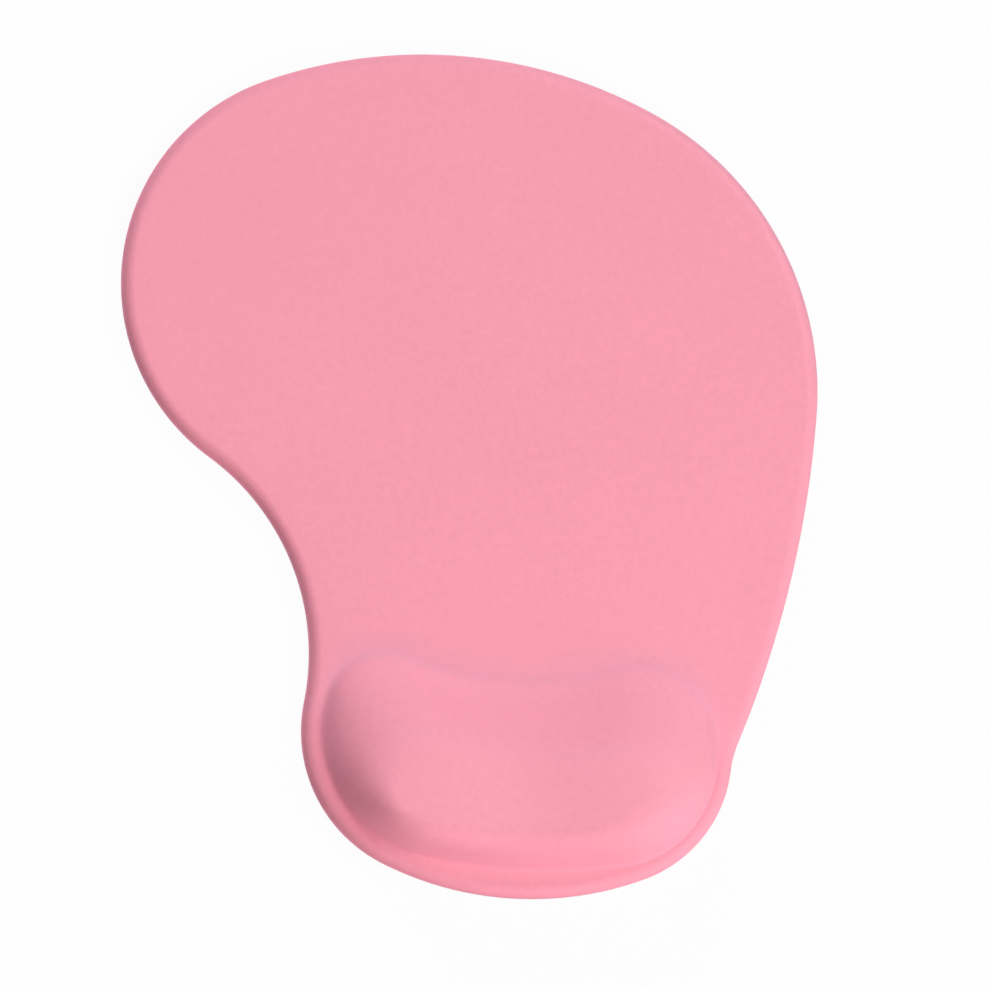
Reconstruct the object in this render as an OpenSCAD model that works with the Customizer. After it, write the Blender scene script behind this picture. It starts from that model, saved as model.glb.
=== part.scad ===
// Mouse mat with a built-in gel wrist rest, in millimetres.
// +Z is up, +Y points away from the user, and the origin lies under the middle of the mat, on the table.
// The mat is a stack: a rubbery base sheet, a foam core with a gel pad let into it, and a knitted cover
// formed over both. Every face of the stack is one shape taken at its own depth under the cover's outside.

/* [Mat] */
// Thickness of the mat where it is flat
mat_t = 5.5; // [5:0.1:8]
// Width of the rounded rim
rim_w = 3.6; // [2.4:0.1:3.7]
// Height of the straight part of the foam's edge under the rim
wall_h = 0.2; // [0.1:0.1:0.8]
// Height of the cover's trimmed edge over the table
trim_z = 0.3; // [0.2:0.1:0.6]

/* [Layers] */
// Thickness of the knitted cover
cover_t = 0.7; // [0.5:0.05:0.9]
// Thickness of each adhesive film
glue_t = 0.15; // [0.1:0.01:0.25]
// Thickness of the skin films round the gel
film_t = 0.2; // [0.1:0.01:0.3]
// Thickness of the non-slip base sheet
base_t = 1.2; // [0.8:0.1:1.6]

/* [Mat outline, from the middle of the mat] */
// Right lobe: how far right its centre is
right_x = 8.5; // [4:0.5:12]
// Right lobe: how far back its centre is
right_y = 23.5; // [18:0.5:30]
// Right lobe: radius
right_r = 86; // [80:0.5:92]
// Left lobe: how far left its centre is
left_x = 36.5; // [32:0.5:42]
// Left lobe: how far back its centre is
left_y = 52; // [46:0.5:56]
// Left lobe: radius
left_r = 58.5; // [54:0.5:62]
// Radius of the back edge, between the two lobes
back_r = 130; // [110:1:160]
// Radius of the hollow waist on the left
waist_r = 66; // [56:1:76]
// Left heel: how far left its centre is
heel_x = 6; // [3:0.5:9]
// Left heel: how far forward its centre is
heel_y = 69.5; // [66:0.5:73]
// Left heel: radius
heel_r = 40; // [38:0.5:44]
// Right heel: how far it bulges out past the flank
hip_out = 3; // [2:0.1:4.5]
// Right heel: how far forward its centre is
hip_y = 75.5; // [73:0.5:78]
// Right heel: radius
hip_r = 36; // [35:0.5:38]
// Radius of the front edge, between the two heels
front_r = 90; // [75:1:120]
// Radius of the small hollow above the right heel
nip_r = 30; // [20:1:45]
// Radius of the long right flank
flank_r = 290; // [240:5:350]
// Direction in which the flank runs into the right lobe, in degrees under straight right
flank_a = 4.5; // [2:0.5:7]

/* [Cushion outline] */
// Width of the flat lip round the left heel
lip_w = 5.8; // [5:0.1:8]
// Width of the lip where it is narrowest, on the right heel
nip_w = 4; // [3.9:0.1:5.5]
// Where that narrow part ends at the front, in degrees under straight right
nip_a = 37; // [25:1:45]
// Radius of the cushion's front right corner
wing_r = 25.6; // [22:0.1:28]
// Radius of the cushion's back right corner
shoulder_r = 21.5; // [18:0.5:24]
// Direction of that corner, in degrees over straight right
shoulder_a = 14; // [6:1:20]
// Radius of the cushion's back left corner
thumb_r = 16; // [13:0.5:20]
// Direction of that corner, in degrees over straight left
thumb_a = 18; // [12:1:30]
// Radius of the cushion's front edge
brow_r = 150; // [110:5:300]
// Radius of the hollow in the cushion's back edge
dip_r = 88; // [70:2:130]

/* [Cushion form] */
// Height of the cushion over the mat
crown_h = 14.8; // [11:0.2:18]
// How far in from the cushion's left and right ends its ridge line ends
ridge_in = 18; // [15:0.5:24]
// How far forward of the lobes' middles the ridge line's ends are turned, in degrees
ridge_a = 58; // [30:1:70]
// Share of the way to the ridge line that the side takes
side_share = 0.8; // [0.7:0.01:0.92]
// Angle on the side's arc at which it leaves the mat
side_a = 24; // [10:1:35]
// Share of the height that the crown gains past the sides
dome_share = 0.05; // [0.02:0.01:0.2]
// Depth of the saddle between the two lobes
saddle_d = 1.6; // [0:0.1:4]
// Width of the saddle
saddle_w = 60; // [45:1:75]
// Fall of the crown from front to back
fall_d = 3; // [0:0.1:5]

/* [Fineness] */
// Longest straight step round the mat
mat_step = 14; // [11:1:20]
// Largest turn between two steps round the mat, in degrees
mat_turn = 9.5; // [8:0.5:15]
// Largest turn between two steps round the cushion, in degrees
pad_turn = 12; // [10:1:18]

/* [Hidden] */
pink = [0.96, 0.60, 0.68];
rim_steps = 2;
side_steps = 5;
// A pressed-in foot of the cushion moves in by this share of the depth, so each layer keeps its thickness
foot_share = 0.6;

// Depths under the cover's outside, and heights over the table
foam_depth = cover_t + glue_t;
gel_depth = foam_depth + film_t;
foam_z = base_t + glue_t;
gel_z = foam_z + film_t;
rim_z = foam_z + wall_h;

// ---- Outlines as chains of tangent arcs ----
// A lobe is [x, y, radius]. A link joins a lobe to the next: above 0 an arc that bulges round both,
// below 0 a hollow fillet, and 0 where one lobe touches the other from inside.

function unit(v) = v / norm(v);
function flat(p) = [p[0], p[1]];
function heading(a) = [cos(a), sin(a)];
function joined(lists) = [for (list = lists, item = list) item];

function link_centre(a, b, r) =
    let (
        span = norm(flat(b) - flat(a)),
        along = unit(flat(b) - flat(a)),
        side = sign(r) * [-along[1], along[0]],
        from_a = r - a[2],
        from_b = r - b[2],
        reach = (from_a * from_a - from_b * from_b + span * span) / (2 * span)
    )
    flat(a) + reach * along + sqrt(from_a * from_a - reach * reach) * side;

function touch(centre, r, lobe) = centre + r * unit(flat(lobe) - centre);

function inner_touch(a, b) = a[2] > b[2] ? touch(flat(a), a[2], b) : touch(flat(b), b[2], a);

// Where a link leaves lobe a, and where it reaches lobe b
function leave(a, b, r) = r == 0 ? inner_touch(a, b) : touch(link_centre(a, b, r), abs(r), a);
function arrive(a, b, r) = r == 0 ? inner_touch(a, b) : touch(link_centre(a, b, r), abs(r), b);

// Points along an arc from p to q, without q, each [x, y, outward x, outward y]
function arc(centre, r, p, q, out, step, turn) =
    let (
        start = atan2(p[1] - centre[1], p[0] - centre[0]),
        end = atan2(q[1] - centre[1], q[0] - centre[0]),
        sweep = out > 0 ? (end - start + 720) % 360 : -((start - end + 720) % 360),
        steps = max(1, ceil(abs(sweep) / turn), ceil(abs(sweep) * PI / 180 * r / step))
    )
    [for (i = [0 : steps - 1])
        let (ray = heading(start + sweep * i / steps), at = centre + r * ray)
        [at[0], at[1], out * ray[0], out * ray[1]]];

function outline(lobes, links, step, turn) =
    let (n = len(lobes))
    joined([for (i = [0 : n - 1])
        let (
            a = lobes[(i + n - 1) % n],
            b = lobes[i],
            c = lobes[(i + 1) % n],
            r = links[i],
            p = arrive(a, b, links[(i + n - 1) % n]),
            q = leave(b, c, r)
        )
        concat(
            arc(flat(b), b[2], p, q, 1, step, turn),
            r == 0 ? [] : arc(link_centre(b, c, r), abs(r), q, arrive(b, c, r), sign(r), step, turn)
        )]);

right_lobe = [right_x, right_y, right_r];
left_lobe = [-left_x, left_y, left_r];
heel_lobe = [-heel_x, -heel_y, heel_r];
flank_centre = flat(right_lobe) - (flank_r - right_r) * heading(-flank_a);
flank_lobe = [flank_centre[0], flank_centre[1], flank_r];
hip_far = flank_r - hip_r + hip_out;
hip_down = hip_y + flank_centre[1];
hip_lobe = [flank_centre[0] + sqrt(hip_far * hip_far - hip_down * hip_down), -hip_y, hip_r];

mat_outline = outline(
    [right_lobe, left_lobe, heel_lobe, hip_lobe, flank_lobe],
    [back_r, -waist_r, front_r, -nip_r, 0],
    mat_step, mat_turn);

palm_lobe = [-heel_x, -heel_y, heel_r - lip_w];
thumb_centre = flat(palm_lobe) + (palm_lobe[2] - thumb_r) * heading(180 - thumb_a);
thumb_lobe = [thumb_centre[0], thumb_centre[1], thumb_r];
side_r = hip_r - nip_w;
wing_centre = flat(hip_lobe) + (side_r - wing_r) * heading(-nip_a);
wing_lobe = [wing_centre[0], wing_centre[1], wing_r];
shoulder_centre = flat(hip_lobe) + (side_r - shoulder_r) * heading(shoulder_a);
shoulder_lobe = [shoulder_centre[0], shoulder_centre[1], shoulder_r];

pad_outline = outline(
    [wing_lobe, shoulder_lobe, thumb_lobe, palm_lobe],
    [side_r, -dip_r, 0, brow_r],
    mat_step, pad_turn);

// The origin goes under the middle of the mat's own box
function middle(values) = (min(values) + max(values)) / 2;
origin = [middle([for (p = mat_outline) p[0]]), middle([for (p = mat_outline) p[1]])];
mat_edge = [for (p = mat_outline) [p[0] - origin[0], p[1] - origin[1], p[2], p[3]]];
pad_edge = [for (p = pad_outline) [p[0] - origin[0], p[1] - origin[1], p[2], p[3]]];
ridge_left = flat(palm_lobe) + (palm_lobe[2] - ridge_in) * heading(180 + ridge_a) - origin;
ridge_right = flat(hip_lobe) + (side_r - ridge_in) * heading(-ridge_a) - origin;
crown = (ridge_left + ridge_right) / 2;
mat_n = len(mat_edge);
pad_n = len(pad_edge);

// ---- Loops of points ----

function inset_flat(edge, inset) = [for (p = edge) [p[0] - inset * p[2], p[1] - inset * p[3]]];
function inset_loop(edge, inset, z) = [for (p = inset_flat(edge, inset)) [p[0], p[1], z]];

// The rim at a depth: the wall's foot, then an elliptical quarter turn over onto the flat
function rim_loop(depth, a) =
    inset_loop(mat_edge, rim_w - (rim_w - depth) * cos(a), rim_z + (mat_t - rim_z - depth) * sin(a));
function rim_loops(depth, foot_z) = concat(
    [inset_loop(mat_edge, depth, foot_z)],
    [for (i = [0 : rim_steps]) rim_loop(depth, 90 * i / rim_steps)]);

// Each point of the cushion's foot rises to its own place on the ridge line, by its share of the width
function ridge_point(foot, low, high) =
    let (t = (foot[0] - low) / (high - low))
    ridge_left + t * t * (3 - 2 * t) * (ridge_right - ridge_left);

// Rings run from the foot (1) up an elliptical side to the ridge line (0)
side_rings = [for (i = [0 : side_steps])
    1 - side_share * (1 - cos(side_a + (90 - side_a) * i / side_steps) / cos(side_a))];
rings = concat(side_rings, [(1 - side_share) / 2]);

// Height share of the side: an elliptical arc, mixed by slow with an even slope
function side_rise(ring, slow) =
    let (
        t = min(1, (1 - ring) / side_share),
        lean = (1 - t) * cos(side_a),
        round = (sqrt(1 - lean * lean) - sin(side_a)) / (1 - sin(side_a))
    )
    (1 - slow) * round + slow * t * t * (3 - 2 * t);

// Height of the crown over a place: lower in the saddle, and falling towards the back
function crown_height(p) =
    let (
        across = min(1, abs(p[0] - crown[0]) / (saddle_w / 2)),
        back = (p[1] - crown[1]) / palm_lobe[2]
    )
    crown_h - saddle_d * (1 + cos(180 * across)) / 2 - fall_d * back / 2;

// The side is slow by the cube of how straight it faces the mat
function pad_point(foot, heart, ring, depth) =
    let (
        at = heart + ring * (foot - heart),
        slow = pow(max(0, unit(foot - heart)[1]), 3),
        rise = (1 - dome_share) * side_rise(ring, slow) + dome_share * (1 - ring * ring)
    )
    [at[0], at[1], mat_t - depth + crown_height(at) * rise];

function pad_loops(depth) =
    let (
        feet = inset_flat(pad_edge, foot_share * depth),
        low = min([for (p = feet) p[0]]),
        high = max([for (p = feet) p[0]])
    )
    [for (ring = rings) [for (foot = feet) pad_point(foot, ridge_point(foot, low, high), ring, depth)]];
function pad_tip(depth) = [crown[0], crown[1], mat_t - depth + crown_height(crown)];

// ---- Faces between loops, seen clockwise from outside when the loops run anticlockwise from above ----

function strip(a, b, n) = joined([for (i = [0 : n - 1])
    let (j = (i + 1) % n)
    [[b + j, a + j, a + i], [b + i, b + j, a + i]]]);
function fan(a, n, tip) = [for (i = [0 : n - 1]) [tip, a + (i + 1) % n, a + i]];
function reversed(list) = [for (i = [len(list) - 1 : -1 : 0]) list[i]];
function turned(faces) = [for (f = faces) reversed(f)];

// Which point of a loop lies nearest to p, and the run of points from one to another
function nearest(p, loop) =
    let (away = [for (q = loop) norm(flat(q) - flat(p))])
    search(min(away), away)[0];
function run(from, to, n) = [for (i = [0 : (to - from + n) % n]) (from + i) % n];

// Twice the area of a triangle, above 0 where it runs anticlockwise
function twice_area(a, b, c) = (b[0] - a[0]) * (c[1] - a[1]) - (b[1] - a[1]) * (c[0] - a[0]);

// A corner of a polygon is an ear if it bulges and its triangle holds none of the other points
function is_ear(at, ids, i) =
    let (
        n = len(ids),
        a = at[ids[(i + n - 1) % n]],
        b = at[ids[i]],
        c = at[ids[(i + 1) % n]]
    )
    twice_area(a, b, c) > 0 && len([for (k = [i + 2 : i + n - 2])
        let (p = at[ids[k % n]])
        if (twice_area(a, b, p) >= 0 && twice_area(b, c, p) >= 0 && twice_area(c, a, p) >= 0) 1]) == 0;

// Triangles of a polygon, by cutting off one ear after another
function clip_ears(at, ids, i = 0, missed = 0) =
    let (n = len(ids))
    n == 3 || missed > n ? [ids]
    : is_ear(at, ids, i) ? concat(
        [[ids[(i + n - 1) % n], ids[i], ids[(i + 1) % n]]],
        clip_ears(at, [for (k = [0 : n - 1]) if (k != i) ids[k]], (i + 1) % (n - 1)))
    : clip_ears(at, ids, (i + 1) % n, missed + 1);

// The flat between the mat's loop, from point a on, and the cushion's loop, from point b on: two polygons
// that part at the cushion's left and right ends
function web(outer, a, inner, b) =
    let (
        m = len(outer),
        xs = [for (p = inner) p[0]],
        ends = [search(min(xs), xs)[0], search(max(xs), xs)[0]],
        across = [for (i = ends) nearest(inner[i], outer)],
        halves = [for (k = [0, 1]) concat(
            run(across[k], across[1 - k], m),
            reversed([for (i = run(ends[k], ends[1 - k], len(inner))) m + i]))]
    )
    [for (half = halves, f = turned(clip_ears(concat(outer, inner), half)))
        [for (i = f) i < m ? a + i : b + i - m]];

// ---- A whole upper face of the stack at one depth: rim, flat, cushion ----

rim_count = rim_steps + 2;
ring_count = len(rings);
pad_start = rim_count * mat_n;
tip_index = pad_start + ring_count * pad_n;

function face_points(depth, foot_z) =
    concat(joined(rim_loops(depth, foot_z)), joined(pad_loops(depth)), [pad_tip(depth)]);

function rim_faces() = joined([for (i = [0 : rim_count - 2]) strip(i * mat_n, (i + 1) * mat_n, mat_n)]);
function pad_faces(start) = concat(
    joined([for (i = [0 : ring_count - 2]) strip(start + i * pad_n, start + (i + 1) * pad_n, pad_n)]),
    fan(start + (ring_count - 1) * pad_n, pad_n, start + ring_count * pad_n));
function flat_faces(depth, a, b) =
    web(rim_loop(depth, 90), a, inset_flat(pad_edge, foot_share * depth), b);
function face_faces(depth) = concat(
    rim_faces(),
    flat_faces(depth, (rim_count - 1) * mat_n, pad_start),
    pad_faces(pad_start));

// A skin between two depths, closed round its trimmed edge
module skin(outer_depth, inner_depth) {
    under = tip_index + 1;
    inner_faces = [for (f = turned(face_faces(inner_depth))) [for (i = f) i + under]];
    polyhedron(
        concat(face_points(outer_depth, trim_z), face_points(inner_depth, trim_z)),
        concat(face_faces(outer_depth), inner_faces, strip(under, 0, mat_n)));
}

// ---- Sub-parts ----

// Non-slip sheet that the mat stands on
module base_sheet() {
    color("dimgray")
        linear_extrude(base_t)
            polygon(inset_flat(mat_edge, foam_depth));
}

// Adhesive film between the base sheet and the foam and gel
module base_adhesive() {
    color("ivory")
        translate([0, 0, base_t])
            linear_extrude(glue_t)
                polygon(inset_flat(mat_edge, foam_depth));
}

// Foam core with a rounded rim and a cut-out for the gel pad
module foam_mat() {
    hole_inset = foot_share * foam_depth;
    hole_top = rim_count * mat_n;
    hole_foot = hole_top + pad_n;
    foam_top = mat_t - foam_depth;
    color("whitesmoke")
        polyhedron(
            concat(
                joined(rim_loops(foam_depth, foam_z)),
                inset_loop(pad_edge, hole_inset, foam_top),
                inset_loop(pad_edge, hole_inset, foam_z)),
            concat(
                rim_faces(),
                flat_faces(foam_depth, (rim_count - 1) * mat_n, hole_top),
                strip(hole_top, hole_foot, pad_n),
                turned(web(inset_flat(mat_edge, foam_depth), 0,
                    inset_flat(pad_edge, hole_inset), hole_foot))));
}

// Flat film that closes the gel pad underneath
module gel_film_lower() {
    color("gainsboro")
        translate([0, 0, foam_z])
            linear_extrude(film_t)
                polygon(inset_flat(pad_edge, foot_share * foam_depth));
}

// Gel body: a plug in the foam's cut-out, with the crowned cushion over it
module gel_core() {
    last = (ring_count + 1) * pad_n;
    color("lightblue")
        polyhedron(
            concat(
                inset_loop(pad_edge, foot_share * foam_depth + film_t, gel_z),
                joined(pad_loops(gel_depth)),
                [pad_tip(gel_depth), [crown[0], crown[1], gel_z]]),
            concat(
                strip(0, pad_n, pad_n),
                pad_faces(pad_n),
                turned(fan(0, pad_n, last + 1))));
}

// Film formed over the gel, down the cut-out's wall to the lower film
module gel_film_upper() {
    wall_inset = foot_share * foam_depth;
    under = (ring_count + 1) * pad_n + 1;
    inner_faces = concat(strip(0, pad_n, pad_n), pad_faces(pad_n));
    color("lightcyan")
        polyhedron(
            concat(
                inset_loop(pad_edge, wall_inset, gel_z),
                joined(pad_loops(foam_depth)),
                [pad_tip(foam_depth)],
                inset_loop(pad_edge, wall_inset + film_t, gel_z),
                joined(pad_loops(gel_depth)),
                [pad_tip(gel_depth)]),
            concat(
                strip(0, pad_n, pad_n),
                pad_faces(pad_n),
                [for (f = turned(inner_faces)) [for (i = f) i + under]],
                strip(under, 0, pad_n)));
}

// Adhesive film that bonds the cover to the foam, the gel pad and the base sheet's edge
module cover_adhesive() {
    color("wheat")
        skin(cover_t, foam_depth);
}

// Knitted cover, formed over mat and cushion in one piece and trimmed round the base sheet
module fabric_cover() {
    color(pink)
        skin(0, cover_t);
}

base_sheet();
base_adhesive();
foam_mat();
gel_film_lower();
gel_core();
gel_film_upper();
cover_adhesive();
fabric_cover();
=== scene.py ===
import math
import bpy
import numpy as np
from mathutils import Matrix, Vector
from mathutils.geometry import delaunay_2d_cdt


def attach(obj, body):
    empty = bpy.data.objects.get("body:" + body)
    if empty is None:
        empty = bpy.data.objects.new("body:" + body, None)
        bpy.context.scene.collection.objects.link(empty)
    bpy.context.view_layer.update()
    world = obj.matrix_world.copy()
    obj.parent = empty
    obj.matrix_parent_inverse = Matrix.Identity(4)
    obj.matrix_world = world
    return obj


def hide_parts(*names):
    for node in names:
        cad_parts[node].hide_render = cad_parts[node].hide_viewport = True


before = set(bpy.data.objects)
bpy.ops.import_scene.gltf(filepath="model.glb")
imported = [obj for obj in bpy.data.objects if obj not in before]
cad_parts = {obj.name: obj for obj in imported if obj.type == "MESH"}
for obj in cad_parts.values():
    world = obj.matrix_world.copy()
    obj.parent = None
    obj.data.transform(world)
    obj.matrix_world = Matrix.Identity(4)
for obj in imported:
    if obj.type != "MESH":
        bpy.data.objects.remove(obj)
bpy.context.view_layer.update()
print("frame loaded:", len(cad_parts), "nodes")

mm = 0.001  # all sizes below are in millimetres, meshes are in metres
rowPitch = 0.866  # rows of a three-cornered lattice lie this share of its pitch apart

# the stack of layers, from the table up; every face is one surface taken at its own depth under the cover
layers = dict(
    matThick=5.5, rimWide=3.6, wallHigh=0.2, trimHeight=0.3,
    cover=0.7, glue=0.15, film=0.2, base=1.2,
    footShare=0.6,  # the cushion's foot moves in by this share of the depth
)

# lobes of the mat's outline, (x, y, radius), and the arcs between them: above 0 bulging, below 0 hollow
matShape = dict(
    right=(8.5, 23.5, 86.0), left=(-36.5, 52.0, 58.5), heel=(-6.0, -69.5, 40.0),
    hipY=-75.5, hipRadius=36.0, hipOut=3.0,  # the right heel bulges this far out past the flank
    backRadius=130.0, waistRadius=66.0, frontRadius=90.0, nipRadius=30.0,
    flankRadius=290.0, flankAngle=4.5,
)

cushionShape = dict(
    lip=5.8, nip=4.0, nipAngle=37.0,
    wingRadius=25.6, shoulderRadius=21.5, shoulderAngle=14.0, thumbRadius=16.0, thumbAngle=18.0,
    browRadius=150.0, dipRadius=88.0,
    ridgeIn=18.0, ridgeAngle=58.0,  # where the ridge line that the sides rise to ends in each lobe
    height=14.8, sideShare=0.8, sideAngle=24.0, domeShare=0.05,
    lastRing=0.3,  # the crown's innermost ring, as a share of its way out from the ridge line
    tight=0.48, tightFacing=244.0,  # by this share the side is narrower where it faces this bearing
    saddle=1.6, saddleWidth=60.0, fall=3.0,
    crease=1.3,  # how far outside the foot the cover begins to turn up into the cushion's side
    creaseRoom=0.7,  # and at most this share of the flat between the foot and the rim
)


# unit vector at a bearing: its cosine and sine
def heading(degrees):
    a = np.radians(degrees)
    return np.array([np.cos(a), np.sin(a)])


# the vector over its own length
def unit(v):
    return v / np.linalg.norm(v)


# centre of the arc of radius r that touches two circles: the third corner of a triangle whose other
# corners are their centres and whose sides are r less each circle's radius
def linkCentre(a, b, r):
    ca, cb = np.array(a[:2]), np.array(b[:2])
    span, along = np.linalg.norm(cb - ca), unit(cb - ca)
    fromA, fromB = r - a[2], r - b[2]
    reach = (fromA ** 2 - fromB ** 2 + span ** 2) / (2 * span)
    side = np.sign(r) * np.array([-along[1], along[0]])
    return ca + reach * along + math.sqrt(fromA ** 2 - reach ** 2) * side


# where a circle of radius r about a centre touches a lobe: r from the centre towards the lobe's middle
def touchPoint(centre, r, lobe):
    return centre + r * unit(np.array(lobe[:2]) - centre)


# centre of the arc of radius r between two lobes, and where it touches each; 0 is for lobes that touch
def linkEnds(a, b, r):
    if r == 0:  # one lobe touches the other from inside
        big, small = (a, b) if a[2] > b[2] else (b, a)
        p = touchPoint(np.array(big[:2]), big[2], small)
        return None, p, p
    centre = linkCentre(a, b, r)
    return centre, touchPoint(centre, abs(r), a), touchPoint(centre, abs(r), b)


# the chain of arcs as rows of centre x, centre y, radius, start angle, sweep, side: each lobe's own arc,
# then the one that links it to the next
def arcChain(lobes, links):
    rows, n = [], len(lobes)
    ends = [linkEnds(lobes[i], lobes[(i + 1) % n], links[i]) for i in range(n)]
    for i in range(n):
        lobe, (centre, p, q) = lobes[i], ends[i]
        own = (np.array(lobe[:2]), lobe[2], ends[i - 1][2], p, 1)
        for c, r, a, b, side in (own, (centre, abs(links[i]), p, q, links[i])):
            if c is None:
                continue
            a0 = math.atan2(*(a - c)[::-1])
            turn = math.atan2(*(b - c)[::-1]) - a0
            sweep = turn % (2 * math.pi) if side > 0 else -((-turn) % (2 * math.pi))
            rows.append((c[0], c[1], r, a0, sweep, np.sign(side)))
    return np.array(rows)


# points and outward normals at even steps of length along the chain: centre + radius * (cos, sin)
def alongChain(chain, count):
    lengths = np.abs(chain[:, 4]) * chain[:, 2]
    marks = np.concatenate([[0], np.cumsum(lengths)])
    s = np.arange(count) / count * marks[-1]
    k = np.clip(np.searchsorted(marks, s, side="right") - 1, 0, len(chain) - 1)
    angle = chain[k, 3] + chain[k, 4] * (s - marks[k]) / lengths[k]
    ray = np.stack([np.cos(angle), np.sin(angle)], axis=1)
    return chain[k, :2] + chain[k, 2:3] * ray, ray * chain[k, 5:6]


# the flank's lobe, and the right heel's, whose centre is flank radius - own radius + bulge from the flank's
def flankLobe(m):
    centre = np.array(m["right"][:2]) - (m["flankRadius"] - m["right"][2]) * heading(-m["flankAngle"])
    return centre[0], centre[1], m["flankRadius"]


def hipLobe(m):
    x, y, r = flankLobe(m)
    away = r - m["hipRadius"] + m["hipOut"]
    return x + math.sqrt(away ** 2 - (m["hipY"] - y) ** 2), m["hipY"], m["hipRadius"]


# the mat's outline: five lobes, and the radius of the arc from each to the next
def matChain(m):
    return arcChain(
        [m["right"], m["left"], m["heel"], hipLobe(m), flankLobe(m)],
        [m["backRadius"], -m["waistRadius"], m["frontRadius"], -m["nipRadius"], 0])


# circle of radius r inside a lobe, a gap away from its edge in one direction, as centre x, centre y, r
def innerLobe(lobe, gap, r, degrees):
    x, y = np.array(lobe[:2]) + (lobe[2] - gap - r) * heading(degrees)
    return x, y, r


# the cushion's foot: its lobes lie inside the mat's heel and hip, a gap away from their edges
def cushionChain(m, c):
    heel, hip = m["heel"], hipLobe(m)
    return arcChain(
        [innerLobe(hip, c["nip"], c["wingRadius"], -c["nipAngle"]),
         innerLobe(hip, c["nip"], c["shoulderRadius"], c["shoulderAngle"]),
         innerLobe(heel, c["lip"], c["thumbRadius"], 180 - c["thumbAngle"]),
         innerLobe(heel, c["lip"], heel[2] - c["lip"], 0)],
        [hip[2] - c["nip"], -c["dipRadius"], 0, c["browRadius"]])


# both ends of the ridge line: as far in from the cushion's left and right ends
def ridgeEnds(m, c):
    left = innerLobe(m["heel"], c["lip"] + c["ridgeIn"], 0, 180 + c["ridgeAngle"])
    right = innerLobe(hipLobe(m), c["nip"] + c["ridgeIn"], 0, -c["ridgeAngle"])
    return np.array([left[:2], right[:2]])


# the mat's edge and the cushion's foot as rows of x, y, outward x, outward y, about the middle of the mat
def findEdges(matCount, padCount):
    matPoints, matOut = alongChain(matChain(matShape), matCount)
    padPoints, padOut = alongChain(cushionChain(matShape, cushionShape), padCount)
    shift = (matPoints.min(axis=0) + matPoints.max(axis=0)) / 2
    lip = np.sqrt(((padPoints[:, None] - matPoints[None]) ** 2).sum(axis=2).min(axis=1))
    return dict(
        mat=np.hstack([matPoints - shift, matOut]), pad=np.hstack([padPoints - shift, padOut]),
        ridge=ridgeEnds(matShape, cushionShape) - shift,
        crease=np.minimum(cushionShape["crease"], cushionShape["creaseRoom"] * (lip - layers["rimWide"])))


# larger of two values, rounded where they meet: a quarter of the square of what their distance lacks of
# the width, over the width, is added
def roundMax(a, b, width):
    return np.maximum(a, b) + np.maximum(0, width - np.abs(a - b)) ** 2 / (4 * width)


# the place on the ridge line that each point of the foot rises to: from the line's left end to its right
# end as t * t * (3 - 2 t), t being the share of the cushion's width
def ridgePoints(feet, ridge):
    t = (feet[:, :1] - feet[:, 0].min()) / np.ptp(feet[:, 0])
    return ridge[0] + t ** 2 * (3 - 2 * t) * (ridge[1] - ridge[0])


# height of the cushion over the flat, where t is 0 at the foot and 1 at the top of the side: an elliptical
# side, mixed with the slope t * t * (3 - 2 t), plus a slow dome, all times a crown that dips in the saddle
# and falls towards the back; outside the foot it runs on downwards at the foot's own steepness, and is
# rounded into the flat over turn, in the measure of t
def cushionRise(t, ring, slow, turn, x, y, ridge):
    c = cushionShape
    a = math.radians(c["sideAngle"])
    lean = np.clip(1 - t, 0, 1) * math.cos(a)
    arc = (np.sqrt(1 - lean ** 2) - math.sin(a)) / (1 - math.sin(a))
    steepness = math.cos(a) ** 2 / (math.sin(a) * (1 - math.sin(a)))
    arc += np.minimum(t, 0) * steepness
    step = np.clip(t, 0, 1)
    side = (1 - slow) * arc + slow * step ** 2 * (3 - 2 * step)
    rise = (1 - c["domeShare"]) * side + c["domeShare"] * (1 - ring ** 2)
    middle = ridge.mean(axis=0)
    across = np.minimum(1, np.abs(x - middle[0]) / (c["saddleWidth"] / 2))
    back = (y - middle[1]) / (matShape["heel"][2] - c["lip"])
    crown = c["height"] - c["saddle"] * (1 + np.cos(np.pi * across)) / 2 - c["fall"] * back / 2
    width = 1e-3 + crown * steepness * (1 - slow) * turn  # never quite 0, as roundMax divides by it
    return roundMax(crown * rise, 0, width)


# points of a plane, all at one height
def atHeight(xy, z):
    return np.column_stack([xy, np.full(len(xy), z)])


# loops of an edge moved in by an inset, one at each height
def edgeLoops(edge, inset, heights):
    return [atHeight(edge[:, :2] - inset * edge[:, 2:], z) for z in heights]


# the rim at a depth: the wall, then an elliptical quarter turn onto the flat, cos across and sin up
def rimLoops(edges, depth, foot, steps):
    s = layers
    start = s["base"] + s["glue"] + s["wallHigh"]
    wide, tall = s["rimWide"] - depth, s["matThick"] - start - depth
    loops = edgeLoops(edges["mat"], depth, (foot, (foot + start) / 2))  # the wall below the turn
    for a in np.linspace(0, math.pi / 2, steps):
        loops += edgeLoops(edges["mat"], s["rimWide"] - wide * math.cos(a), [start + tall * math.sin(a)])
    return loops


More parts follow.
